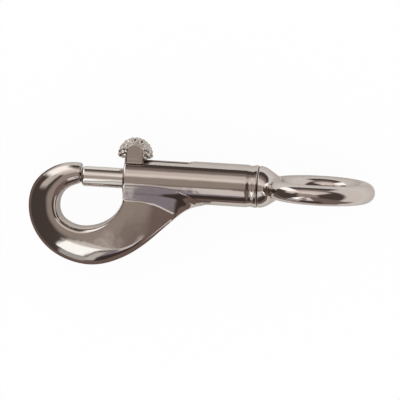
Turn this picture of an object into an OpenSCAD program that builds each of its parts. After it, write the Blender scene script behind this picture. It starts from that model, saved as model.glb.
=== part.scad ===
// Bolt snap with a round swivel eye: a cast hook body, a sprung bolt worked by a thumb knob,
// and an eye that turns in the end of the barrel.
// +X runs along the barrel towards the eye, +Y towards the knob, +Z square to the flat of the hook.
// The origin is the centre of the eye. All lengths are in millimetres.

/* [Barrel] */
// Outside diameter of the barrel
barrel_d = 13.1; // [12.6:0.1:14.2]
// Length of the barrel
barrel_len = 41.5; // [41:0.5:43]
// Diameter of the bore that guides the bolt
bore_d = 6.3; // [6.28:0.01:6.36]
// Width of the slot for the knob's stem
slot_w = 4.8; // [4.7:0.1:5.2]
// Depth of the groove rolled round the end of the barrel
groove_depth = 0.2; // [0.1:0.05:0.5]

/* [Hook] */
// Gap between the nose and the front of the barrel
mouth_gap = 13.5; // [13.5:0.1:13.9]
// Half thickness of the flat web beside the barrel
web_half = 4.35; // [4:0.05:4.5]
// Half thickness of the hook limb at its outer bend
limb_half = 4.3; // [3.8:0.1:4.8]
// Half thickness of the nose
nose_half = 3.45; // [3.2:0.05:3.7]
// How fast the web thins towards its tail, for each millimetre along the barrel
tail_taper = 0.2; // [0.1:0.02:0.24]

/* [Bolt] */
// Diameter of the bolt
bolt_d = 6.2; // [6.1:0.01:6.2]
// Chamfer at the bolt's tip
bolt_chamfer = 0.7; // [0.3:0.1:1]
// How far the bolt slides back
bolt_travel = 13.6; // [13:0.1:14]
// Diameter of the spigot that centres the spring
spigot_d = 3.4; // [3:0.1:3.8]

/* [Thumb knob] */
// Diameter of the knurled head
knob_d = 11; // [10:0.2:11.4]
// Height of the head's centre above the bolt axis
knob_rise = 7.5; // [7.4:0.1:8]
// Half distance between the head's two flat sides
knob_flat = 4.7; // [4.2:0.1:5]
// Height of the knurl's points
knurl = 0.28; // [0.1:0.02:0.35]
// Height of the cheeks' round tops above the bolt axis
cheek_top = 11.4; // [11:0.1:11.8]
// Height of the cheeks' feet above the bolt axis, beside the barrel
cheek_foot = 5.2; // [5.1:0.1:6]
// Width of the cheeks along the barrel
cheek_w = 5.4; // [4.8:0.1:5.6]
// Length of the stem along the barrel
stem_len = 6; // [5:0.1:6.2]
// Thickness of the stem across the slot
stem_w = 4.4; // [4:0.1:4.4]
// Diameter of the dowel end of the stem, pressed into the bolt
dowel_d = 3.2; // [2.6:0.1:3.4]

/* [Spring] */
// Wire diameter of the spring
wire_d = 0.8; // [0.6:0.05:0.8]
// Outside diameter of the spring
spring_d = 5.9; // [5.4:0.1:6]
// Number of turns
spring_turns = 8; // [6:0.5:8]

/* [Swivel eye] */
// Inside diameter of the eye
eye_id = 22; // [19:0.5:24]
// Diameter of the eye's round section
eye_section = 6; // [5.4:0.1:6.4]
// Diameter of the shank that turns in the barrel
shank_d = 8.4; // [8.2:0.1:8.6]
// Diameter of the neck under the rolled lip
neck_d = 5.9; // [5.6:0.1:6.2]
// Length of the domed collar
dome_len = 5.9; // [5:0.1:6.5]
// Distance from the end of the barrel to the centre of the eye
eye_reach = 18.8; // [18:0.1:19.5]

/* [Hidden] */

// Radial running clearance of the swivel, and small gaps between pieces that meet end to end
run_gap = 0.06;
end_gap = 0.05;
collar_gap = 0.12;
foot_gap = 0.2;
// How far a cutting shape runs past the face that it opens
past = 1;
barrel_r = barrel_d / 2;
edge_r = 0.45;

// Places along the barrel, measured from its front face
groove_at = 39;
groove_half = 1;
lip_half = 0.8;
chamber_from = 33;
neck_half = 1.1;
shank_from = 33.5;
collar_from = barrel_len + collar_gap;
dome_inset = 0.1;
eye_at = barrel_len + eye_reach;
bolt_tip = -mouth_gap + end_gap;
bolt_shoulder = 12;
spigot_len = 4;
spigot_chamfer = 0.4;
knob_at = stem_len / 2 - end_gap;
cheek_at = knob_at + 0.4;
// How far the cheeks stand out from the head's flat sides
cheek_rise = 0.05;
// The slot takes the stem over the bolt's whole travel, and its round end clears the stem's corners
slot_spare = 1.65;
slot_len = knob_at + stem_len / 2 + bolt_travel + slot_spare;
// Metal left under the dowel's blind hole, and the height at which the stem starts
dowel_floor = 0.6;
stem_root = 1;

// Segments of the fine circles
round_fn = 96;

// Sections of the hook limb from the nose round the bend to the web's root inside the barrel.
// Each row: inner edge x and y, outer edge x and y, half thickness,
// then how far the rounding reaches in from the inner edge and from the outer edge.
limb_rows = [
    [-mouth_gap, -2.0, -mouth_gap, 3.85, nose_half - 0.25, 2.9, 2.9],
    [-mouth_gap - 0.4, -2.3, -mouth_gap - 0.4, 4.1, nose_half, 3.1, 3.2],
    [-15.6, -3.0, -17.2, 4.1, nose_half + 0.2, 3.3, 3.9],
    [-17.6, -4.1, -21.6, 2.9, nose_half + 0.5, 3.0, 4.9],
    [-19.1, -5.9, -26.4, -0.4, limb_half - 0.15, 2.7, 6.0],
    [-19.8, -8.0, -29.3, -5.2, limb_half, 2.5, 6.6],
    [-19.8, -10.4, -29.8, -11.2, limb_half, 2.4, 7.0],
    [-18.8, -12.7, -28.0, -17.2, limb_half, 2.4, 7.2],
    [-16.8, -14.3, -23.8, -22.6, limb_half, 2.4, 7.6],
    [-13.9, -15.3, -17.7, -26.2, limb_half, 2.4, 8.2],
    [-10.9, -15.3, -10.4, -27.6, limb_half, 2.3, 8.0],
    [-8.2, -14.7, -3.6, -26.4, limb_half, 2.0, 5.6],
    [-5.6, -13.5, 2.6, -23.4, web_half, 1.6, 3.0],
    [-3.2, -11.7, 7.8, -19.5, web_half, 1.2, 2.1],
    [-1.4, -9.4, 12.4, -15.2, web_half, 0.9, 2.0],
    [-0.2, -6.7, 16.6, -11.2, web_half, 0.7, 2.0],
    [0.15, -4.9, 20.8, -8.1, web_half, 0.6, 2.4],
    [0.15, -4.3, 25.2, -6.75, web_half, 0.6, 3.0],
    [0.15, -3.7, 28.4, -4.9, web_half, 0.6, 3.0]
];
// Where along the barrel the web starts to thin, and the least half thickness of its tail
taper_from = 8;
tail_half = 0.3;

// The shoulder on each side: a flank that leaves the barrel and runs down into the web.
// Each row: place along the barrel, and the angle at which the flank leaves it.
shoulder_rows = [[0.2, 24.5], [8, 24.5], [13, 28], [17, 27], [20, 39], [24, 59], [28, 80]];
// How deep the flank's two edges are sunk into the barrel and the web
flank_sink = 0.15;

row_steps = 3;
section_points = 28;

function spline(a, b, c, d, t) =
    0.5 * (2 * b + (c - a) * t + (2 * a - 5 * b + 4 * c - d) * t * t
    + (3 * b - a - 3 * c + d) * t * t * t);

function clamp_row(i) = limb_rows[max(0, min(len(limb_rows) - 1, i))];

function limb_row(i, t) = spline(clamp_row(i - 1), clamp_row(i), clamp_row(i + 1), clamp_row(i + 2), t);

// Half thickness of the web at a place along the barrel
function web_at(place) = max(tail_half, web_half - tail_taper * max(0, place - taper_from));

// One point of a section: each edge is a quarter ellipse, and the face between them is flat
function limb_point(row, turn) =
    let (
        inner = [row[0], row[1]],
        outer = [row[2], row[3]],
        width = norm(outer - inner),
        inset = 1 - abs(cos(turn)),
        across = cos(turn) > 0 ? width - row[6] * inset : row[5] * inset,
        p = inner + (outer - inner) * across / width,
        half = min(row[4], web_at(p[0]))
    )
    [p[0], p[1], half * sin(turn)];

// Closed skin over rings of equally many points, with flat ends
module skin(rings) {
    ring_count = len(rings);
    around = len(rings[0]);
    points = [for (ring = rings) each ring];
    sides = [
        for (i = [0 : ring_count - 2])
            for (j = [0 : around - 1])
                let (
                    a = i * around + j,
                    b = i * around + (j + 1) % around,
                    c = a + around,
                    d = b + around
                )
                each [[a, b, d], [a, d, c]]
    ];
    first_end = [for (j = [around - 1 : -1 : 0]) j];
    last_end = [for (j = [0 : around - 1]) (ring_count - 1) * around + j];
    polyhedron(points = points, faces = concat(sides, [first_end], [last_end]), convexity = 6);
}

module hook_limb() {
    last_row = len(limb_rows) - 1;
    rows = concat(
        [for (i = [0 : last_row - 1]) for (k = [0 : row_steps - 1]) limb_row(i, k / row_steps)],
        [limb_rows[last_row]]
    );
    rings = [
        for (row = rows)
            [for (j = [0 : section_points - 1]) limb_point(row, 360 * (j + 0.5) / section_points)]
    ];
    skin(rings);
}

module shoulder() {
    rings = [
        for (row = shoulder_rows)
            let (
                place = row[0],
                angle = row[1],
                top_r = barrel_r - flank_sink,
                top_y = -top_r * sin(angle),
                top_z = top_r * cos(angle),
                foot_z = web_at(place) - flank_sink,
                foot_y = (foot_z * cos(angle) - top_r) / sin(angle)
            )
            [[place, top_y, -top_z], [place, foot_y, -foot_z], [place, foot_y, foot_z], [place, top_y, top_z]]
    ];
    skin(rings);
}

// Turns a profile of [distance along the barrel, radius] points about the barrel's axis
module turned(profile) {
    rotate([90, 0, 90])
        rotate_extrude($fn = round_fn)
            polygon([for (p = profile) [p[1], p[0]]]);
}

module along_barrel(from, to, radius) {
    translate([from, 0, 0])
        rotate([0, 90, 0])
            cylinder(h = to - from, r = radius, $fn = round_fn);
}

module barrel_outside() {
    groove_r = barrel_r - groove_depth;
    turned([
        [0, 0],
        [0, barrel_r - edge_r],
        [edge_r * 0.3, barrel_r - edge_r * 0.3],
        [edge_r, barrel_r],
        [groove_at - groove_half, barrel_r],
        [groove_at - groove_half / 2, groove_r],
        [groove_at + groove_half / 2, groove_r],
        [groove_at + groove_half, barrel_r],
        [barrel_len - edge_r / 2, barrel_r],
        [barrel_len, barrel_r - edge_r / 2],
        [barrel_len, 0]
    ]);
}

module slot_cut() {
    round_end = slot_len - slot_w / 2;
    translate([-past, 0, -slot_w / 2])
        cube([round_end + past, barrel_d, slot_w]);
    translate([round_end, 0, 0])
        rotate([-90, 0, 0])
            cylinder(h = barrel_d, d = slot_w, $fn = 48);
}

module snap_body() {
    chamber_r = shank_d / 2 + run_gap;
    color("silver")
    translate([-eye_at, 0, 0])
    difference() {
        union() {
            barrel_outside();
            hook_limb();
            shoulder();
        }
        along_barrel(-past, chamber_from + past, bore_d / 2);
        along_barrel(chamber_from, groove_at - lip_half, chamber_r);
        along_barrel(groove_at - lip_half - past, groove_at + lip_half + past, neck_d / 2 + run_gap);
        along_barrel(groove_at + lip_half, barrel_len + past, chamber_r);
        slot_cut();
    }
}

module bolt() {
    bolt_r = bolt_d / 2;
    color("gainsboro")
    translate([-eye_at, 0, 0])
    difference() {
        turned([
            [bolt_tip, 0],
            [bolt_tip, bolt_r - bolt_chamfer],
            [bolt_tip + bolt_chamfer, bolt_r],
            [bolt_shoulder, bolt_r],
            [bolt_shoulder, spigot_d / 2],
            [bolt_shoulder + spigot_len - spigot_chamfer, spigot_d / 2],
            [bolt_shoulder + spigot_len, spigot_d / 2 - spigot_chamfer],
            [bolt_shoulder + spigot_len, 0]
        ]);
        dowel(bolt_d);
    }
}

// The dowel end of the knob's stem, and the blind hole that it is pressed into
module dowel(top) {
    low = dowel_floor - bolt_d / 2;
    translate([knob_at, low, 0])
        rotate([-90, 0, 0])
            cylinder(h = top - low, d = dowel_d, $fn = 48);
}

// Knurled head: a ball with a flat foot and two flat sides, its points raised in a checkerboard
module knob_head() {
    around = 48;
    levels = 13;
    ball_r = knob_d / 2 - knurl;
    foot = barrel_r + foot_gap - knob_rise;
    foot_angle = asin(foot / ball_r);
    function head_point(i, j) =
        let (
            level = foot_angle + (90 - foot_angle) * i / (levels + 1),
            raised = i > 0 && (i + j) % 2 == 0 ? knurl : 0,
            r = ball_r + raised,
            turn = 360 * j / around
        )
        [
            r * cos(level) * cos(turn),
            i == 0 ? foot : r * sin(level),
            max(-knob_flat, min(knob_flat, r * cos(level) * sin(turn)))
        ];
    points = concat(
        [for (i = [0 : levels]) for (j = [0 : around - 1]) head_point(i, j)],
        [[0, ball_r, 0]]
    );
    sides = [
        for (i = [0 : levels - 1])
            for (j = [0 : around - 1])
                let (
                    a = i * around + j,
                    b = i * around + (j + 1) % around,
                    c = a + around,
                    d = b + around
                )
                each (i + j) % 2 == 0 ? [[a, b, c], [b, d, c]] : [[a, b, d], [a, d, c]]
    ];
    top = len(points) - 1;
    crown = [for (j = [0 : around - 1]) [levels * around + j, levels * around + (j + 1) % around, top]];
    bottom = [for (j = [around - 1 : -1 : 0]) j];
    polyhedron(points = points, faces = concat(sides, crown, [bottom]), convexity = 4);
}

// Flat cheeks on the head's two sides: arches that reach down beside the slot and clear the barrel
module cheeks() {
    cheek_half = knob_flat + cheek_rise;
    cheek_r = cheek_w / 2;
    arch_y = cheek_top - cheek_r;
    difference() {
        union() {
            translate([cheek_at, arch_y, -cheek_half])
                cylinder(h = 2 * cheek_half, r = cheek_r, $fn = 64);
            translate([cheek_at - cheek_r, cheek_foot, -cheek_half])
                cube([cheek_w, arch_y - cheek_foot, 2 * cheek_half]);
        }
        along_barrel(-past, stem_len + past, barrel_r + foot_gap);
    }
}

module thumb_knob() {
    color("darkgray")
    translate([-eye_at, 0, 0]) {
        translate([knob_at, knob_rise, 0])
            knob_head();
        cheeks();
        difference() {
            translate([knob_at - stem_len / 2, stem_root, -stem_w / 2])
                cube([stem_len, knob_rise, stem_w]);
            along_barrel(-past, stem_len + past, bolt_d / 2);
        }
        dowel(bolt_d / 2 + past);
    }
}

module spring() {
    sides = 8;
    steps_a_turn = 18;
    spring_from = bolt_shoulder + end_gap;
    spring_to = shank_from - end_gap;
    coil_r = (spring_d - wire_d) / 2;
    rise = spring_to - spring_from - wire_d;
    steps = floor(spring_turns * steps_a_turn);
    rings = [
        for (i = [0 : steps])
            let (turn = 360 * i / steps_a_turn, along = spring_from + wire_d / 2 + rise * i / steps)
            [
                for (j = [0 : sides - 1])
                    let (a = 360 * j / sides, out = coil_r + wire_d / 2 * cos(a))
                    [along + wire_d / 2 * sin(a), out * cos(turn), out * sin(turn)]
            ]
    ];
    color("gray")
    translate([-eye_at, 0, 0])
        skin(rings);
}

module swivel_eye() {
    dome_r = barrel_r - dome_inset;
    arc_steps = 9;
    dome = [
        for (i = [0 : arc_steps])
            let (a = 90 * i / arc_steps)
            [collar_from + dome_len * sin(a), dome_r * cos(a)]
    ];
    color("silver")
    translate([-eye_at, 0, 0]) {
        turned(concat(
            [
                [shank_from, 0],
                [shank_from, shank_d / 2],
                [groove_at - neck_half, shank_d / 2],
                [groove_at - neck_half, neck_d / 2],
                [groove_at + neck_half, neck_d / 2],
                [groove_at + neck_half, shank_d / 2],
                [collar_from, shank_d / 2]
            ],
            dome
        ));
        translate([eye_at, 0, 0])
            rotate([90, 0, 0])
                rotate_extrude($fn = round_fn)
                    translate([eye_id / 2 + eye_section / 2, 0])
                        circle(d = eye_section, $fn = 48);
    }
}

snap_body();
bolt();
thumb_knob();
spring();
swivel_eye();
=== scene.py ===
"""Bolt snap with a swivel eye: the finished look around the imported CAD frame.

Each piece but the spring is a smooth signed distance field, meshed on a fine grid and pulled onto the
true surface. Fields are written in millimetres in the snap's own axes: u along the barrel from its
front face, v towards the thumb knob, z square to the flat of the hook. Their p holds one point a row.
Meshes are placed in the row frame, in metres.
"""
import math

import bmesh
import bpy
import numpy as np
from mathutils import Matrix, Vector


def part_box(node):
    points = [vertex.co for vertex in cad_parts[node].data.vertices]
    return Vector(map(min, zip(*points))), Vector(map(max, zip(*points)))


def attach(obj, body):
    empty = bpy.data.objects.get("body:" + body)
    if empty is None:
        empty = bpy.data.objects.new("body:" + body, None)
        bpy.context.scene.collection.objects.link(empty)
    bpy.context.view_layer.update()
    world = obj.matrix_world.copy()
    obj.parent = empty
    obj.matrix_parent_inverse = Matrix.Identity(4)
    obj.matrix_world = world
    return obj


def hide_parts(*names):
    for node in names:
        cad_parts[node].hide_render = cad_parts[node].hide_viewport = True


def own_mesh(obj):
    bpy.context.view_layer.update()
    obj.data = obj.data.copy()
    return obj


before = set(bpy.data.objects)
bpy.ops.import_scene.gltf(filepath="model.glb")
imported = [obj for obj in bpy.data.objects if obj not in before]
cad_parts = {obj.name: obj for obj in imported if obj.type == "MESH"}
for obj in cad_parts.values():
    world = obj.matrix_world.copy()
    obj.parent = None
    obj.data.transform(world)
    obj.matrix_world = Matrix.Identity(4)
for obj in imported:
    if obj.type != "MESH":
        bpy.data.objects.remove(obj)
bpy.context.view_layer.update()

MM = 0.001

# Sizes up to the sections are in millimetres and angles in degrees. A name that ends in EDGE, FILLET
# or EASE is the width over which two surfaces blend.

# Barrel
BARREL_R = 6.55
BARREL_LEN = 41.5
FRONT_EDGE = 0.9
BACK_EDGE = 0.5
GROOVE_AT = 39.3
GROOVE_HALF = 1.5
GROOVE_DEPTH = 0.25

# What is cut out of the casting
BORE_R = 3.15
BORE_EDGE = 0.3
SLOT_HALF = 2.4
SLOT_FROM = -3.0
SLOT_LEN = 21.2
SLOT_EDGE = 0.4
CHAMBER_FROM = 33.0
CHAMBER_R = 4.26
CHAMBER_EDGE = 0.2
LIP_AT = 39.0
LIP_HALF = 0.8
LIP_HOLE_HALF = 3.0
RUN_GAP = 0.06
# How far a cut runs on past the metal, and how far joined forms reach into each other
OVERRUN = 9.0
OVERLAP = 1.0

# Hook and web
MOUTH_GAP = 13.5
NOSE_HALF = 3.45
NOSE_EDGE = 0.7
LIMB_HALF = 4.3
LIMB_FILLET = 0.3
WEB_HALF = 4.35
WEB_CROWN = 0.14
WEB_EASE = 0.4
TAPER_FROM = 8.0
TAPER_EASE = 4.0
TAIL_TAPER = 0.2
TAIL_HALF = 0.3
TAIL_EASE = 0.5

# Flank: the slope that leaves the barrel's side and runs down to the web, and the wedge under it
FLANK_R = 6.42
FLANK_ANGLE = 25.5
FLANK_TURN = 54.0
FLANK_TURN_FROM = 15.5
FLANK_TURN_TO = 28.5
FLANK_EDGE = 0.2
FADE_FROM = 10.0
FADE_TO = 21.0
FADE_DEPTH = 0.4
WEDGE_TOP = 0.9
WEDGE_INSET = 0.35
WEDGE_FROM = 0.1
WEDGE_FILLET = 0.12
WEDGE_FILLET_GROWTH = 0.3

# Bolt
BOLT_R = 3.1
BOLT_TIP = -13.45
BOLT_CHAMFER = 0.7
BOLT_SHOULDER = 12.0
BOLT_EDGE = 0.25
BOLT_FILLET = 0.3
SPIGOT_R = 1.7
SPIGOT_END = 16.0
SPIGOT_EDGE = 0.6

# Knob: a knurled ball, two flat cheeks, and a stem that ends in a dowel
KNOB_R = 5.5
KNOB_AT = 2.95
KNOB_RISE = 7.5
KNOB_FLAT = 4.7
KNOB_FLAT_EDGE = 0.25
KNOB_FOOT = 6.75
KNOB_FOOT_EDGE = 0.3
KNURL = 0.5
KNURL_ROUND = 14
KNURL_ACROSS = 12
# The dimples steepen the ball's field, and this keeps it from overstating distance
KNURL_SCALE = 0.6
CHEEK_AT = 3.35
CHEEK_R = 2.7
CHEEK_TOP = 11.4
CHEEK_FOOT = 5.2
CHEEK_FOOT_EDGE = 0.4
CHEEK_HALF = 4.75
CHEEK_EDGE = 0.5
CHEEK_SEAT_EDGE = 0.2
CHEEK_FILLET = 0.25
STEM_HALF = 3.0
STEM_SIDE = 2.2
STEM_LOW = 1.0
STEM_EDGE = 0.3
STEM_FILLET = 0.4
DOWEL_R = 1.6
DOWEL_LOW = -2.5
DOWEL_EDGE = 0.1

# Spring
SPRING_R = 2.55
SPRING_FROM = 12.05
SPRING_TO = 33.45
SPRING_TURNS = 8
WIRE_R = 0.4
WIRE_SIDES = 16
STEPS_A_TURN = 60

# Swivel eye. The ring's section is a hair thinner than the CAD ring's, so that its mesh stays inside it
EYE_AT = BARREL_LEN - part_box("snap_body")[1].x / MM
EYE_R = 14.0
EYE_SECTION = 3.0
EYE_INSET = 0.002
EYE_FILLET = 3.0
SHANK_R = 4.2
SHANK_FROM = 33.5
SHANK_EDGE = 0.3
NECK_R = 2.95
NECK_HALF = 1.1
NECK_REACH = 2.0
COLLAR_FROM = 41.62
COLLAR_R = 6.45
COLLAR_EDGE = 0.35
COLLAR_SHANK_EDGE = 0.2
DOME_LEN = 5.9

# Sections of the hook limb from the nose round the bend to the web's root inside the barrel:
# inner edge u and v, outer edge u and v, half thickness, inner and outer reach of the rounding
LIMB_ROWS = np.array([
    [-MOUTH_GAP, -2.0, -MOUTH_GAP, 3.85, NOSE_HALF - 0.25, 2.9, 2.9],
    [-MOUTH_GAP - 0.4, -2.3, -MOUTH_GAP - 0.4, 4.1, NOSE_HALF, 3.1, 3.2],
    [-15.6, -3.0, -17.2, 4.1, NOSE_HALF + 0.2, 3.3, 3.9],
    [-17.6, -4.1, -21.6, 2.9, NOSE_HALF + 0.5, 3.0, 4.9],
    [-19.1, -5.9, -26.4, -0.4, LIMB_HALF - 0.15, 2.7, 6.0],
    [-19.8, -8.0, -29.3, -5.2, LIMB_HALF, 2.5, 6.6],
    [-19.8, -10.4, -29.8, -11.2, LIMB_HALF, 2.4, 7.0],
    [-18.8, -12.7, -28.0, -17.2, LIMB_HALF, 2.4, 7.2],
    [-16.8, -14.3, -23.8, -22.6, LIMB_HALF, 2.4, 7.6],
    [-13.9, -15.3, -17.7, -26.2, LIMB_HALF, 2.4, 8.2],
    [-10.9, -15.3, -10.4, -27.6, LIMB_HALF, 2.3, 8.0],
    [-8.2, -14.7, -3.6, -26.4, LIMB_HALF, 2.0, 5.6],
    [-5.6, -13.5, 2.6, -23.4, WEB_HALF, 1.6, 3.0],
    [-3.2, -11.7, 7.8, -19.5, WEB_HALF, 1.2, 2.1],
    [-1.4, -9.4, 12.4, -15.2, WEB_HALF, 0.9, 2.0],
    [-0.2, -6.7, 16.6, -11.2, WEB_HALF, 0.7, 2.0],
    [0.15, -4.9, 20.8, -8.1, WEB_HALF, 0.6, 2.4],
    [0.15, -4.3, 25.2, -6.75, WEB_HALF, 0.6, 3.0],
    [0.15, -3.7, 28.4, -4.9, WEB_HALF, 0.6, 3.0],
])
# Places along those rows: the nose ends before the first, and the crown rises between the others
NOSE_ROW = 4
CROWN_FROM_ROW = 10
CROWN_TO_ROW = 13
# Keeps the smooth outline inside the CAD outline, whose curve bulges a little less
LIMB_INSET = 0.07


# ---- Fields -----------------------------------------------------------------------------------

# Floors that keep a division away from zero
TINY = 1e-9
LEAST_SIZE = 0.05
LEAST_SLOPE = 0.02


def smooth_min(a, b, width):
    """Union of two fields with a fillet about that wide."""
    h = np.maximum(width - np.abs(a - b), 0) / width
    return np.minimum(a, b) - h * h * width / 4


def smooth_max(a, b, width):
    return -smooth_min(-a, -b, width)


def smooth_step(x, start, end):
    """Rises from 0 at start to 1 at end."""
    t = np.clip((x - start) / (end - start), 0, 1)
    return t * t * (3 - 2 * t)


def rod(p, start, end, radius, edge=0.05):
    """Cylinder along the barrel's axis; edge rounds its two rims."""
    u, v, z = p.T
    around = np.hypot(v, z) - radius
    along = np.maximum(start - u, u - end)
    return smooth_max(around, along, edge)


class Spline:
    """Natural cubic through equally spaced rows, with its first derivative."""

    def __init__(self, rows):
        n = len(rows)
        system = np.eye(n) * 4
        system[range(n - 1), range(1, n)] = 1
        system[range(1, n), range(n - 1)] = 1
        system[0] = 0
        system[-1] = 0
        system[0, 0] = 1
        system[-1, -1] = 1
        bend = np.zeros_like(rows)
        bend[1:-1] = 6 * (rows[2:] - 2 * rows[1:-1] + rows[:-2])
        self.rows = rows
        self.bend = np.linalg.solve(system, bend)
        self.last = n - 1

    def __call__(self, s):
        i = np.clip(np.floor(s).astype(int), 0, self.last - 1)
        t = (s - i)[:, None]
        a = 1 - t
        low, high = self.rows[i], self.rows[i + 1]
        bend_low, bend_high = self.bend[i], self.bend[i + 1]
        value = a * low + t * high + ((a ** 3 - a) * bend_low + (t ** 3 - t) * bend_high) / 6
        slope = high - low + ((1 - 3 * a * a) * bend_low + (3 * t * t - 1) * bend_high) / 6
        return value, slope


LIMB = Spline(LIMB_ROWS)
# A coarse grid on the hook's plane that says where along the limb the search for a section starts:
# its first node, step and number of nodes, then how many samples of the limb it looks at
START_LOW = np.array([-33.0, -31.0])
START_STEP = 0.5
START_NODES = (140, 84)
SAMPLES_ALONG = 296
SAMPLES_ACROSS = 14
# The search itself
SEARCH_ROUNDS = 6
SEARCH_STRIDE = 0.7
SEARCH_LEAST_RATE = 1e-3
# A point further than this from every section lies beyond an end of the limb
ON_SECTION = 0.01


def start_table():
    """For each node of the coarse grid, the place along the limb of the nearest sample."""
    s = np.repeat(np.linspace(0, LIMB.last, SAMPLES_ALONG), SAMPLES_ACROSS)
    share = np.tile(np.linspace(0, 1, SAMPLES_ACROSS), SAMPLES_ALONG)[:, None]
    row = LIMB(s)[0]
    samples = row[:, 0:2] * (1 - share) + row[:, 2:4] * share
    table = np.zeros(START_NODES)
    for i in range(START_NODES[0]):
        for j in range(START_NODES[1]):
            node = START_LOW + START_STEP * np.array([i, j])
            table[i, j] = s[np.argmin(((samples - node) ** 2).sum(1))]
    return table


START = start_table()


def cross(a, b):
    return a[:, 0] * b[:, 1] - a[:, 1] * b[:, 0]


def limb_section(flat):
    """For points on the hook's plane: the section through each, and how far each lies off it."""
    node = np.rint((flat - START_LOW) / START_STEP).astype(int)
    node = np.clip(node, 0, np.array(START_NODES) - 1)
    s = START[node[:, 0], node[:, 1]]
    for _ in range(SEARCH_ROUNDS):
        row, slope = LIMB(s)
        inner, span = row[:, 0:2], row[:, 2:4] - row[:, 0:2]
        inner_slope, span_slope = slope[:, 0:2], slope[:, 2:4] - slope[:, 0:2]
        miss = cross(flat - inner, span)
        rate = cross(-inner_slope, span) + cross(flat - inner, span_slope)
        rate = np.where(np.abs(rate) < SEARCH_LEAST_RATE, SEARCH_LEAST_RATE, rate)
        s = np.clip(s - np.clip(miss / rate, -SEARCH_STRIDE, SEARCH_STRIDE), 0, LIMB.last)
    row = LIMB(s)[0]
    span = row[:, 2:4] - row[:, 0:2]
    width = np.hypot(span[:, 0], span[:, 1])
    off = np.abs(cross(flat - row[:, 0:2], span)) / width
    across = ((flat - row[:, 0:2]) * span).sum(1) / width
    return s, row, width, across, off


def web_half_at(u):
    """Half thickness of the web, which thins towards its tail."""
    past = smooth_max(u - TAPER_FROM, 0.0, TAPER_EASE)
    return smooth_max(WEB_HALF - TAIL_TAPER * past, TAIL_HALF, TAIL_EASE)


def limb_field(p, section):
    """The hook: a section with a flat face between two quarter-ellipse edges, swept round."""
    u, _, z = p.T
    s, row, width, across, off = section
    inner_reach, outer_reach = row[:, 5], row[:, 6]
    crest = np.clip((across - inner_reach) / (width - inner_reach), 0, 1)
    crown = 1 - WEB_CROWN * crest ** 2 * smooth_step(s, CROWN_FROM_ROW, CROWN_TO_ROW)
    thick = smooth_min(row[:, 4], web_half_at(u), WEB_EASE) * crown
    inner = 1 - across / inner_reach
    outer = 1 - (width - across) / outer_reach
    edge = np.maximum(np.maximum(inner, outer), 0)
    reach = np.where(inner > outer, inner_reach, outer_reach)
    size = np.hypot(edge, z / thick)
    steep = np.hypot(edge / reach, z / thick ** 2)
    field = (size - 1) * np.maximum(size, LEAST_SIZE) / np.maximum(steep, LEAST_SIZE / thick)
    field = np.where(off > ON_SECTION, np.maximum(field, off), field) + LIMB_INSET
    return np.where(s < NOSE_ROW, smooth_max(field, u + MOUTH_GAP, NOSE_EDGE), field)


def flank_field(p):
    """Half space under the flank that leaves the barrel's side and runs down to the web."""
    u, v, z = p.T
    turn = smooth_step(u, FLANK_TURN_FROM, FLANK_TURN_TO)
    angle = np.radians(FLANK_ANGLE + FLANK_TURN * turn)
    return np.abs(z) * np.cos(angle) - v * np.sin(angle) - FLANK_R, angle


def barrel_field(p):
    """Cylinder with rounded ends and a shallow groove round its rear."""
    u, v, z = p.T
    reach = np.clip(np.abs(u - GROOVE_AT) / GROOVE_HALF, 0, 1)
    groove = GROOVE_DEPTH * np.cos(reach * math.pi / 2) ** 2
    around = np.hypot(v, z) - BARREL_R + groove
    barrel = smooth_max(around, -u, FRONT_EDGE)
    return smooth_max(barrel, u - BARREL_LEN, BACK_EDGE)


def casting_field(p):
    """Barrel, shoulder and hook, before the bore and the slot are cut."""
    u, v, _ = p.T
    section = limb_section(p[:, :2])
    _, _, width, across, _ = section
    flank, angle = flank_field(p)
    fade = smooth_step(u, FADE_FROM, FADE_TO)
    barrel = smooth_max(barrel_field(p), flank - FADE_DEPTH * fade, FLANK_EDGE)
    wedge = np.maximum(v + WEDGE_TOP * FLANK_R * np.sin(angle), across - width + WEDGE_INSET)
    wedge = np.maximum(np.maximum(wedge, flank), np.maximum(-across, WEDGE_FROM - u))
    body = smooth_min(barrel, wedge, WEDGE_FILLET + WEDGE_FILLET_GROWTH * fade)
    return smooth_min(body, limb_field(p, section), LIMB_FILLET)


def slot_field(p):
    """The thumb slot, open at the barrel's front and round at its rear."""
    u, v, z = p.T
    back = SLOT_LEN - SLOT_HALF
    half = np.hypot(np.maximum(u - back, 0), z) - SLOT_HALF
    return np.maximum(half, np.maximum(-v, SLOT_FROM - u))


def snap_body_field(p):
    """The casting with its bore, rear chamber, lip and thumb slot."""
    bore = rod(p, -OVERRUN, CHAMBER_FROM + OVERLAP, BORE_R)
    chamber = rod(p, CHAMBER_FROM, LIP_AT - LIP_HALF, CHAMBER_R)
    lip_hole = rod(p, LIP_AT - LIP_HOLE_HALF, LIP_AT + LIP_HOLE_HALF, NECK_R + RUN_GAP)
    mouth = rod(p, LIP_AT + LIP_HALF, BARREL_LEN + OVERRUN, CHAMBER_R)
    body = smooth_max(casting_field(p), -bore, BORE_EDGE)
    inside = np.minimum(np.minimum(chamber, lip_hole), mouth)
    body = smooth_max(body, -inside, CHAMBER_EDGE)
    return smooth_max(body, -slot_field(p), SLOT_EDGE)


def dowel_field(p, top):
    """The dowel end of the knob's stem, and the bolt's blind hole for it."""
    u, v, z = p.T
    around = np.hypot(u - KNOB_AT, z) - DOWEL_R
    return np.maximum(around, np.maximum(DOWEL_LOW - v, v - top))


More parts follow.
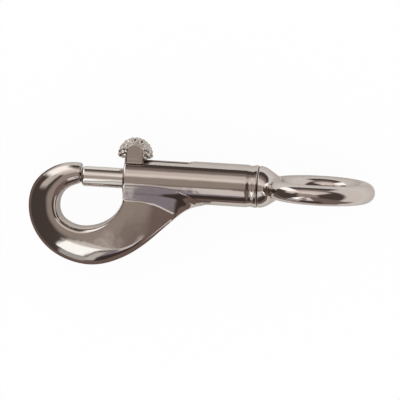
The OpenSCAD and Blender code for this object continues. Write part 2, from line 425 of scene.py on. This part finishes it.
def bolt_field(p):
    """Rod with a chamfered tip, a spigot for the spring and the dowel's hole."""
    u, v, z = p.T
    around = np.hypot(v, z)
    shaft = smooth_max(around - BOLT_R, np.maximum(BOLT_TIP - u, u - BOLT_SHOULDER), BOLT_EDGE)
    cone = (around - u - (BOLT_R - BOLT_CHAMFER - BOLT_TIP)) / math.sqrt(2)
    shaft = smooth_max(shaft, cone, BOLT_EDGE)
    spigot = rod(p, BOLT_SHOULDER - OVERLAP, SPIGOT_END, SPIGOT_R, SPIGOT_EDGE)
    return smooth_max(smooth_min(shaft, spigot, BOLT_FILLET), -dowel_field(p, OVERRUN), DOWEL_EDGE)


def cheek_field(p):
    """Flat arch on each side of the head, which reaches down beside the slot."""
    u, v, z = p.T
    arch = np.hypot(u - CHEEK_AT, np.maximum(v - CHEEK_TOP + CHEEK_R, 0)) - CHEEK_R
    cheek = smooth_max(arch, np.abs(z) - CHEEK_HALF, CHEEK_EDGE)
    cheek = smooth_max(cheek, CHEEK_FOOT - v, CHEEK_FOOT_EDGE)
    return smooth_max(cheek, KNOB_FOOT - np.hypot(v, z), CHEEK_SEAT_EDGE)


def knurled_ball_field(p):
    """Ball whose dimples stand in rows, flattened on both sides and at its foot."""
    _, v, z = p.T
    q = p - [KNOB_AT, KNOB_RISE, 0]
    radius = np.linalg.norm(q, axis=1)
    turn = np.arctan2(q[:, 1], q[:, 0])
    tilt = np.arcsin(np.clip(q[:, 2] / np.maximum(radius, TINY), -1, 1))
    bumps = np.cos(KNURL_ROUND * turn) * np.cos(KNURL_ACROSS * tilt)
    raised = KNURL * (0.5 + 0.5 * bumps)
    ball = (radius - KNOB_R + KNURL - raised) * KNURL_SCALE
    ball = smooth_max(ball, np.abs(z) - KNOB_FLAT, KNOB_FLAT_EDGE)
    return smooth_max(ball, KNOB_FOOT - v, KNOB_FOOT_EDGE)


def stem_field(p):
    """The knob's stem, which runs in the slot, and the dowel at its end."""
    u, v, z = p.T
    stem = smooth_max(np.abs(u - KNOB_AT) - STEM_HALF, np.abs(z) - STEM_SIDE, STEM_EDGE)
    stem = np.maximum(stem, np.maximum(STEM_LOW - v, v - KNOB_RISE))
    stem = smooth_max(stem, BOLT_R - np.hypot(v, z), DOWEL_EDGE)
    return np.minimum(stem, dowel_field(p, BOLT_R + OVERLAP))


def knob_field(p):
    """Knurled ball with two flat cheeks, on its stem."""
    head = smooth_min(knurled_ball_field(p), cheek_field(p), CHEEK_FILLET)
    return smooth_min(head, stem_field(p), STEM_FILLET)


def collar_field(p):
    """Half of a spheroid, flat towards the barrel."""
    u, v, z = p.T
    around = np.hypot(v, z)
    along = u - COLLAR_FROM
    size = np.hypot(np.maximum(along, 0) / DOME_LEN, around / COLLAR_R)
    steep = np.hypot(np.maximum(along, 0) / DOME_LEN ** 2, around / COLLAR_R ** 2)
    dome = (size - 1) * size / np.maximum(steep, LEAST_SLOPE)
    return smooth_max(dome, -along, COLLAR_EDGE)


def shank_field(p):
    """The swivel's shank, with a neck that runs in the barrel's lip."""
    head = rod(p, SHANK_FROM, LIP_AT - NECK_HALF, SHANK_R, SHANK_EDGE)
    neck = rod(p, LIP_AT - NECK_REACH, LIP_AT + NECK_REACH, NECK_R)
    root = rod(p, LIP_AT + NECK_HALF, COLLAR_FROM + OVERLAP, SHANK_R, COLLAR_SHANK_EDGE)
    return np.minimum(np.minimum(head, neck), root)


def eye_field(p):
    """Round ring, domed collar and shank."""
    u, v, z = p.T
    ring = np.hypot(np.hypot(u - EYE_AT, z) - EYE_R, v) - (EYE_SECTION - EYE_INSET)
    return np.minimum(smooth_min(ring, collar_field(p), EYE_FILLET), shank_field(p))


# ---- Meshing ----------------------------------------------------------------------------------

# How a vertex is pulled onto the surface: rounds, longest move in cells, the step over which a slope
# is taken, and the least squared slope
SETTLE_ROUNDS = 5
SETTLE_STRIDE = 0.4
SLOPE_STEP = 0.01
LEAST_SLOPE_SQUARED = 0.05


def lattice(field, low, high, cell):
    """The field's values on a grid."""
    size = np.ceil((np.array(high) - low) / cell).astype(int) + 1
    axes = [low[k] + cell * np.arange(size[k]) for k in range(3)]
    values = np.empty(size)
    for i in range(size[0]):
        y, z = np.meshgrid(axes[1], axes[2], indexing="ij")
        points = np.stack([np.full(y.size, axes[0][i]), y.ravel(), z.ravel()], 1)
        values[i] = field(points).reshape(size[1:])
    return values


def along_axis(size, axis):
    """Slices of the two ends of every grid edge along one axis."""
    near = [slice(None)] * 3
    far = [slice(None)] * 3
    near[axis] = slice(0, size[axis])
    far[axis] = slice(1, size[axis] + 1)
    return near, far


def net_points(values, low, cell):
    """One vertex in each cell that the surface crosses, and the table of their numbers."""
    inside = values < 0
    size = np.array(values.shape) - 1
    total = np.zeros((*size, 3))
    count = np.zeros(size)
    corners = [(a, b) for a in (0, 1) for b in (0, 1)]
    for axis in range(3):
        others = [k for k in range(3) if k != axis]
        for offsets in corners:
            near, far = along_axis(size, axis)
            for k, o in zip(others, offsets):
                near[k] = far[k] = slice(o, size[k] + o)
            a, b = values[tuple(near)], values[tuple(far)]
            crossed = inside[tuple(near)] != inside[tuple(far)]
            share = np.where(crossed, a / np.where(crossed, a - b, 1), 0)
            total[..., axis] += share
            for k, o in zip(others, offsets):
                total[..., k] += o * crossed
            count += crossed
    used = count > 0
    index = np.full(size, -1)
    index[used] = np.arange(used.sum())
    points = low + cell * (np.argwhere(used) + total[used] / count[used][:, None])
    return points, index


def net_quads(values, index):
    """One quad round each grid edge that the surface crosses."""
    inside = values < 0
    size = np.array(values.shape) - 1
    quads = []
    for axis in range(3):
        b, c = (axis + 1) % 3, (axis + 2) % 3
        near, far = along_axis(size, axis)
        for k in (b, c):
            near[k] = far[k] = slice(1, size[k])
        first, second = inside[tuple(near)], inside[tuple(far)]
        for flip in (False, True):
            corner = np.argwhere((second & ~first) if flip else (first & ~second))
            corner[:, b] += 1
            corner[:, c] += 1
            ring = []
            for db, dc in ((1, 1), (0, 1), (0, 0), (1, 0)):
                cell_at = corner.copy()
                cell_at[:, b] -= db
                cell_at[:, c] -= dc
                ring.append(index[cell_at[:, 0], cell_at[:, 1], cell_at[:, 2]])
            quad = np.stack(ring, 1)
            quads.append(quad[:, ::-1] if flip else quad)
    return np.concatenate(quads)


def gradient(field, points):
    parts = []
    for k in range(3):
        shift = np.zeros(3)
        shift[k] = SLOPE_STEP
        parts.append((field(points + shift) - field(points - shift)) / (2 * SLOPE_STEP))
    return np.stack(parts, 1)


def settle(field, points, cell):
    """Pulls the vertices onto the surface and gives their true normals."""
    start = points.copy()
    for _ in range(SETTLE_ROUNDS):
        slope = gradient(field, points)
        length = np.maximum((slope ** 2).sum(1), LEAST_SLOPE_SQUARED)
        move = field(points)[:, None] * slope / length[:, None]
        far = np.linalg.norm(move, axis=1, keepdims=True)
        points = points - move * np.minimum(1, SETTLE_STRIDE * cell / np.maximum(far, TINY))
    stray = np.linalg.norm(points - start, axis=1) > cell
    points[stray] = start[stray]
    slope = gradient(field, points)
    return points, slope / np.maximum(np.linalg.norm(slope, axis=1, keepdims=True), TINY)


def to_frame(points):
    """From the snap's millimetres to the row frame's metres."""
    return (points - [EYE_AT, 0, 0]) * MM


def add_object(name, data):
    obj = bpy.data.objects.new(name, data)
    bpy.context.scene.collection.objects.link(obj)
    return obj


def new_mesh(name, points, faces, normals=None):
    """A smooth object in the row frame, from points in the snap's millimetres."""
    mesh = bpy.data.meshes.new(name)
    mesh.from_pydata(to_frame(points).tolist(), [], faces)
    mesh.validate()
    mesh.shade_smooth()
    if normals is not None:
        mesh.normals_split_custom_set_from_vertices(normals.tolist())
    return add_object(name, mesh)


def solid(name, field, box, cell):
    """Meshes a field as one closed piece."""
    low, high = np.array(box, float)
    values = lattice(field, low, high, cell)
    points, index = net_points(values, low, cell)
    faces = net_quads(values, index)
    points, normals = settle(field, points, cell)
    return new_mesh(name, points, faces.tolist(), normals)


def coil_path():
    """Places along the barrel and turns of the wire's centre, with the end turns closed up."""
    share = np.linspace(0, 1, SPRING_TURNS * STEPS_A_TURN + 1)
    closed = 1.0 / SPRING_TURNS
    ramp = np.clip((share - closed) / (1 - 2 * closed), 0, 1)
    end_rise = 2 * WIRE_R * np.minimum(share, closed) / closed
    end_rise = end_rise + 2 * WIRE_R * np.maximum(share - 1 + closed, 0) / closed
    # The open turns share what the wire's own thickness and the two closed turns leave
    rise = SPRING_TO - SPRING_FROM - 2 * WIRE_R - 4 * WIRE_R
    return SPRING_FROM + WIRE_R + end_rise + rise * ramp, 2 * np.pi * SPRING_TURNS * share


def spring_coil(name):
    """Drawn wire wound in a helix."""
    along, turn = coil_path()
    steps = len(turn) - 1
    a = 2 * np.pi * np.arange(WIRE_SIDES) / WIRE_SIDES
    out = SPRING_R + WIRE_R * np.cos(a)[None, :]
    x = along[:, None] + WIRE_R * np.sin(a)[None, :]
    y = out * np.cos(turn)[:, None]
    z = out * np.sin(turn)[:, None]
    points = np.stack([x.ravel(), y.ravel(), z.ravel()], 1)
    i, j = np.meshgrid(np.arange(steps), np.arange(WIRE_SIDES), indexing="ij")
    first = (i * WIRE_SIDES + j).ravel()
    second = (i * WIRE_SIDES + (j + 1) % WIRE_SIDES).ravel()
    faces = np.stack([first, second, second + WIRE_SIDES, first + WIRE_SIDES], 1).tolist()
    faces.append(list(range(WIRE_SIDES - 1, -1, -1)))
    faces.append([steps * WIRE_SIDES + k for k in range(WIRE_SIDES)])
    return new_mesh(name, points, faces)


# ---- Materials --------------------------------------------------------------------------------

NICKEL = (0.57, 0.525, 0.49)
BRIGHT_NICKEL = (0.74, 0.71, 0.67)
EYE_NICKEL = (0.62, 0.57, 0.54)
SPRING_STEEL = (0.45, 0.45, 0.46)
GRAZING_TINT = (0.75, 0.71, 0.68)
# The slow drift of gloss and tint: noise scale, share of the roughness at each end, and the dull shade
DRIFT_SCALE = 220
GLOSSIEST = 0.7
DULLEST = 1.5
DULL_SHADE = (0.93, 0.90, 0.88)
# The casting's ripple and the plate's fine speckle: noise scale and depth in metres
RIPPLE_SCALE = 330
RIPPLE_DEPTH = 0.0002
SPECKLE_SCALE = 2600
SPECKLE_DEPTH = 0.00002


def noise(tree, place, scale, detail):
    node = tree.nodes.new("ShaderNodeTexNoise")
    node.inputs["Scale"].default_value = scale
    node.inputs["Detail"].default_value = detail
    tree.links.new(place, node.inputs["Vector"])
    return node.outputs["Fac"]


def bump(tree, height, strength, distance):
    node = tree.nodes.new("ShaderNodeBump")
    node.inputs["Strength"].default_value = strength
    node.inputs["Distance"].default_value = distance
    tree.links.new(height, node.inputs["Height"])
    return node


def drifting_gloss(tree, drift, roughness):
    gloss = tree.nodes.new("ShaderNodeMapRange")
    gloss.inputs["To Min"].default_value = roughness * GLOSSIEST
    gloss.inputs["To Max"].default_value = roughness * DULLEST
    tree.links.new(drift, gloss.inputs["Value"])
    return gloss.outputs["Result"]


def drifting_tint(tree, drift, colour):
    tint = tree.nodes.new("ShaderNodeMix")
    tint.data_type = "RGBA"
    dull = [part * shade for part, shade in zip(colour, DULL_SHADE)]
    tint.inputs["A"].default_value = (*colour, 1)
    tint.inputs["B"].default_value = (*dull, 1)
    tree.links.new(drift, tint.inputs["Factor"])
    return tint.outputs["Result"]


def plated(name, colour, roughness, ripple, speckle):
    """Bright plate: soft ripple from the casting, fine speckle and a slow drift of gloss."""
    material = bpy.data.materials.new(name)
    material.use_nodes = True
    tree = material.node_tree
    shader = tree.nodes["Principled BSDF"]
    shader.inputs["Metallic"].default_value = 1.0
    shader.inputs["Specular Tint"].default_value = (*GRAZING_TINT, 1)
    place = tree.nodes.new("ShaderNodeTexCoord").outputs["Object"]
    drift = noise(tree, place, DRIFT_SCALE, detail=3)
    tree.links.new(drifting_gloss(tree, drift, roughness), shader.inputs["Roughness"])
    tree.links.new(drifting_tint(tree, drift, colour), shader.inputs["Base Color"])
    soft = bump(tree, noise(tree, place, RIPPLE_SCALE, detail=1), ripple, RIPPLE_DEPTH)
    fine = bump(tree, noise(tree, place, SPECKLE_SCALE, detail=2), speckle, SPECKLE_DEPTH)
    tree.links.new(soft.outputs["Normal"], fine.inputs["Normal"])
    tree.links.new(fine.outputs["Normal"], shader.inputs["Normal"])
    return material


# ---- Pieces -----------------------------------------------------------------------------------

# The low and high corner of each piece's grid, and the grid's cell
BODY_BOX = ((-30.6, -28.6, -7.1), (42.3, 7.4, 7.1))
BOLT_BOX = ((-14.0, -3.6, -3.6), (16.6, 3.6, 3.6))
KNOB_BOX = ((-3.0, -2.9, -5.6), (8.9, 13.4, 5.6))
EYE_BOX = ((33.0, -6.9, -17.4), (77.9, 6.9, 17.4))
CASTING_CELL = 0.26
BOLT_CELL = 0.2
KNOB_CELL = 0.12


def dress(obj, material, body, node):
    obj.data.materials.append(material)
    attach(obj, body)
    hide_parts(node)


def build_body():
    piece = solid("snap_body_cast", snap_body_field, BODY_BOX, CASTING_CELL)
    plate = plated("nickel_body", NICKEL, roughness=0.07, ripple=0.12, speckle=0.1)
    dress(piece, plate, "body", "snap_body")


def build_bolt():
    piece = solid("bolt_turned", bolt_field, BOLT_BOX, BOLT_CELL)
    plate = plated("nickel_bolt", BRIGHT_NICKEL, roughness=0.06, ripple=0.03, speckle=0.1)
    dress(piece, plate, "bolt", "bolt")


def build_knob():
    piece = solid("thumb_knob_knurled", knob_field, KNOB_BOX, KNOB_CELL)
    plate = plated("nickel_knob", NICKEL, roughness=0.09, ripple=0.1, speckle=0.15)
    dress(piece, plate, "bolt", "thumb_knob")


def build_eye():
    piece = solid("swivel_eye_cast", eye_field, EYE_BOX, CASTING_CELL)
    plate = plated("nickel_eye", EYE_NICKEL, roughness=0.07, ripple=0.1, speckle=0.1)
    dress(piece, plate, "eye", "swivel_eye")


def build_spring():
    """The coil, on the body, with a mesh of its own."""
    piece = spring_coil("return_spring")
    wire = plated("spring_wire", SPRING_STEEL, roughness=0.2, ripple=0.02, speckle=0.2)
    dress(piece, wire, "body", "spring")
    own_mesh(piece)


# ---- Studio -----------------------------------------------------------------------------------

# The camera: where it looks from, its roll, metres a pixel, the picture's width in pixels, how far
# off it stands and how near it sees in metres, and the pixel where the snap's origin lies
VIEW_FROM = Vector((0.118, 0.124, 1.0)).normalized()
VIEW_ROLL = math.radians(3.6)
PIXEL = 0.3089 * MM
IMAGE = 400
CAMERA_DISTANCE = 0.8
NEAREST_SEEN = 0.01
SNAP_PIXEL = (125.0, 178.4)


def add_camera():
    along = (Vector((1, 0, 0)) - VIEW_FROM * VIEW_FROM.x).normalized()
    upward = VIEW_FROM.cross(along)
    right = along * math.cos(VIEW_ROLL) + upward * math.sin(VIEW_ROLL)
    up = upward * math.cos(VIEW_ROLL) - along * math.sin(VIEW_ROLL)
    target = Vector((-EYE_AT * MM, 0, 0))
    target += right * (IMAGE / 2 - SNAP_PIXEL[0]) * PIXEL
    target -= up * (IMAGE / 2 - SNAP_PIXEL[1]) * PIXEL
    data = bpy.data.cameras.new("camera")
    data.lens = data.sensor_width * CAMERA_DISTANCE / (IMAGE * PIXEL)
    data.clip_start = NEAREST_SEEN
    camera = add_object("camera", data)
    camera.matrix_world = Matrix((
        (right.x, up.x, VIEW_FROM.x, 0),
        (right.y, up.y, VIEW_FROM.y, 0),
        (right.z, up.z, VIEW_FROM.z, 0),
        (0, 0, 0, 1)))
    camera.location = target + VIEW_FROM * CAMERA_DISTANCE
    bpy.context.scene.camera = camera


def lying(left, right, near, far, height):
    """Corners of a level rectangle."""
    return [(left, near, height), (right, near, height), (right, far, height), (left, far, height)]


def upright(start, end, low, high):
    """Corners of a rectangle that stands on the line between two points of the plan."""
    return [(*start, low), (*end, low), (*end, high), (*start, high)]


def new_plane(name, corners):
    mesh = bpy.data.meshes.new(name)
    mesh.from_pydata(corners, [], [(0, 1, 2, 3)])
    obj = add_object(name, mesh)
    return obj


def empty_material(name):
    material = bpy.data.materials.new(name)
    material.use_nodes = True
    material.node_tree.nodes.clear()
    return material, material.node_tree


def link_surface(tree, shader):
    out = tree.nodes.new("ShaderNodeOutputMaterial")
    tree.links.new(shader, out.inputs["Surface"])


def maths(tree, operation, a, b=None):
    """One maths node; each input is a socket or a plain number."""
    node = tree.nodes.new("ShaderNodeMath")
    node.operation = operation
    for socket, value in zip(node.inputs, (a, b)):
        if isinstance(value, bpy.types.NodeSocket):
            tree.links.new(value, socket)
        elif value is not None:
            socket.default_value = value
    return node.outputs[0]


# The floor lies at the ring's lowest point and reaches this many metres each way
FLOOR_Z = -(EYE_R + EYE_SECTION) * MM
FLOOR_SIZE = 3.0
FLOOR_WHITE = (0.96, 0.96, 0.955)
# Shares of pure white in what the camera sees of the floor, and in what the metal mirrors of it
FLOOR_GLOW = 0.93
MIRROR_GLOW = 0.1


def floor_material():
    material, tree = empty_material("white_floor")
    matt = tree.nodes.new("ShaderNodeBsdfDiffuse")
    matt.inputs["Color"].default_value = (*FLOOR_WHITE, 1)
    white = tree.nodes.new("ShaderNodeEmission")
    white.inputs["Strength"].default_value = 1
    ray = tree.nodes.new("ShaderNodeLightPath")
    seen = maths(tree, "MULTIPLY", ray.outputs["Is Camera Ray"], FLOOR_GLOW)
    mirrored = maths(tree, "MAXIMUM", ray.outputs["Is Glossy Ray"], ray.outputs["Is Transmission Ray"])
    glow = maths(tree, "MAXIMUM", seen, maths(tree, "MULTIPLY", mirrored, MIRROR_GLOW))
    mix = tree.nodes.new("ShaderNodeMixShader")
    tree.links.new(glow, mix.inputs["Fac"])
    tree.links.new(matt.outputs["BSDF"], mix.inputs[1])
    tree.links.new(white.outputs["Emission"], mix.inputs[2])
    link_surface(tree, mix.outputs["Shader"])
    return material


def add_floor():
    """White floor that keeps a light shadow."""
    corners = lying(-FLOOR_SIZE, FLOOR_SIZE, -FLOOR_SIZE, FLOOR_SIZE, FLOOR_Z)
    new_plane("floor", corners).data.materials.append(floor_material())


def only_in_mirrors(obj):
    """Seen by glossy rays alone: it lights no matt surface and throws no shadow."""
    obj.visible_camera = False
    obj.visible_diffuse = False
    obj.visible_shadow = False
    obj.visible_transmission = False


# The lit shell round the object: centre and radius in metres
SHELL_AT = (-0.060, -0.010, 0.0)
SHELL_R = 0.16
SHELL_DARK = (0.10, 0.08, 0.072)
# Cards painted on it, each over the ones before: colour, then middle, half size and soft edge in
# azimuth (0 towards the eye, 90 towards the knob) and in elevation, all in degrees
CARDS = [
    # Overhead, and the dim walls on both sides
    ((0.46, 0.395, 0.36), (0, 180, 1), (90, 18, 12)),
    ((0.25, 0.19, 0.175), (-70, 40, 14), (34, 36, 14)),
    ((0.32, 0.27, 0.25), (80, 30, 10), (28, 6, 12)),
    # On the knob's side
    ((0.92, 0.85, 0.81), (85, 42, 12), (50, 11, 13)),
    ((1.14, 1.05, 1.01), (78, 26, 10), (58, 4, 6)),
    ((0.80, 0.75, 0.71), (145, 12, 12), (40, 9, 8)),
    ((1.25, 1.18, 1.14), (123, 9, 9), (36, 8, 8)),
    ((1.72, 1.74, 1.76), (127, 11, 9), (10, 20, 8)),
    # On the other side
    ((0.07, 0.055, 0.05), (-80, 16, 6), (17, 10, 6)),
    ((0.36, 0.33, 0.39), (-91, 9, 3), (40.5, 6.5, 7)),
    ((0.75, 0.71, 0.70), (-86, 14, 4), (64, 5, 5)),
    ((1.02, 0.98, 0.98), (-79, 8.5, 1.5), (55, 12, 8)),
    ((0.60, 0.60, 0.60), (-116, 8, 3), (17, 8, 8)),
    ((0.95, 0.92, 0.89), (-118, 12, 5), (64, 7, 5)),
    ((0.80, 0.79, 0.78), (-103, 3, 2), (30, 14, 6)),
    ((1.76, 1.86, 1.90), (-120, 8.5, 3), (45, 12, 5)),
    # Low beyond the eye
    ((0.93, 0.90, 0.87), (12, 34, 10), (6, 12, 8)),
]


def band(tree, angle, middle, half, soft):
    """1 where the angle lies within half of middle, fading to 0 over soft, all in degrees."""
    shift = maths(tree, "SUBTRACT", angle, math.radians(middle))
    fade = tree.nodes.new("ShaderNodeMapRange")
    fade.interpolation_type = "SMOOTHSTEP"
    fade.inputs["From Min"].default_value = math.radians(half)
    fade.inputs["From Max"].default_value = math.radians(half + soft)
    fade.inputs["To Min"].default_value = 1
    fade.inputs["To Max"].default_value = 0
    tree.links.new(maths(tree, "ABSOLUTE", shift), fade.inputs["Value"])
    return fade.outputs["Result"]


def painted(tree, under, colour, mask):
    mix = tree.nodes.new("ShaderNodeMix")
    mix.data_type = "RGBA"
    mix.inputs["B"].default_value = (*colour, 1)
    tree.links.new(mask, mix.inputs["Factor"])
    tree.links.new(under, mix.inputs["A"])
    return mix.outputs["Result"]


def shell_material():
    material, tree = empty_material("studio_light")
    place = tree.nodes.new("ShaderNodeTexCoord")
    split = tree.nodes.new("ShaderNodeSeparateXYZ")
    tree.links.new(place.outputs["Object"], split.inputs["Vector"])
    azimuth = maths(tree, "ARCTAN2", split.outputs["Y"], split.outputs["X"])
    elevation = maths(tree, "ARCSINE", maths(tree, "DIVIDE", split.outputs["Z"], SHELL_R))
    base = tree.nodes.new("ShaderNodeRGB")
    base.outputs[0].default_value = (*SHELL_DARK, 1)
    colour = base.outputs[0]
    for shade, across, up in CARDS:
        mask = maths(tree, "MULTIPLY", band(tree, azimuth, *across), band(tree, elevation, *up))
        colour = painted(tree, colour, shade, mask)
    light = tree.nodes.new("ShaderNodeEmission")
    tree.links.new(colour, light.inputs["Color"])
    link_surface(tree, light.outputs["Emission"])
    return material


def add_shell():
    """What the metal mirrors above the floor: a dark studio with soft cards of light."""
    mesh = bpy.data.meshes.new("studio_shell")
    ball = bmesh.new()
    bmesh.ops.create_uvsphere(ball, u_segments=64, v_segments=32, radius=SHELL_R)
    ball.to_mesh(mesh)
    ball.free()
    mesh.materials.append(shell_material())
    obj = add_object("studio_shell", mesh)
    obj.location = SHELL_AT
    only_in_mirrors(obj)


# The low dark cards, sheets of painted shade that only the metal mirrors, in metres: colour, heights,
# places along x from the left, then along y
DARK = (0.24, 0.17, 0.155)
DARK_LOW = -0.009
DARK_HIGH = 0.0
DARK_LEFT = -0.107
DARK_STRIP = -0.086
DARK_RIGHT = -0.037
DARK_END = 0.020
DARK_NEAR = -0.052
DARK_INNER = -0.020
DARK_FAR = 0.015


def add_dark_cards():
    """Low dark cards of painted shade in front of the hook's bend and under its web, mirrored in their
    rims. The level ones are a painted shadow under the hook, the upright ones painted shade on the
    floor round it.
    """
    material, tree = empty_material("mirrored_shade_card")
    # A dark glow of painted shade, standing in for the shadowed floor under and beside the hook
    light = tree.nodes.new("ShaderNodeEmission")
    light.inputs["Color"].default_value = (*DARK, 1)
    link_surface(tree, light.outputs["Emission"])
    corner = (DARK_LEFT, DARK_NEAR)
    cards = {
        "card_near": upright(corner, (DARK_END, DARK_NEAR), DARK_LOW, DARK_HIGH),
        "card_left": upright(corner, (DARK_LEFT, DARK_FAR), DARK_LOW, DARK_HIGH),
        "shadow_under": lying(DARK_LEFT, DARK_RIGHT, DARK_NEAR, DARK_INNER, DARK_LOW),
        "shadow_edge": lying(DARK_LEFT, DARK_STRIP, DARK_INNER, DARK_FAR, DARK_LOW),
    }
    for name, corners in cards.items():
        card = new_plane(name, corners)
        card.data.materials.append(material)
        only_in_mirrors(card)


def add_world():
    world = bpy.data.worlds.new("world")
    world.use_nodes = True
    background = world.node_tree.nodes["Background"]
    background.inputs["Color"].default_value = (1, 1, 1, 1)
    background.inputs["Strength"].default_value = 1
    bpy.context.scene.world = world


def main():
    bpy.context.scene.view_settings.view_transform = "Standard"
    add_camera()
    build_body()
    build_bolt()
    build_knob()
    build_eye()
    build_spring()
    add_floor()
    add_shell()
    add_dark_cards()
    add_world()


main()
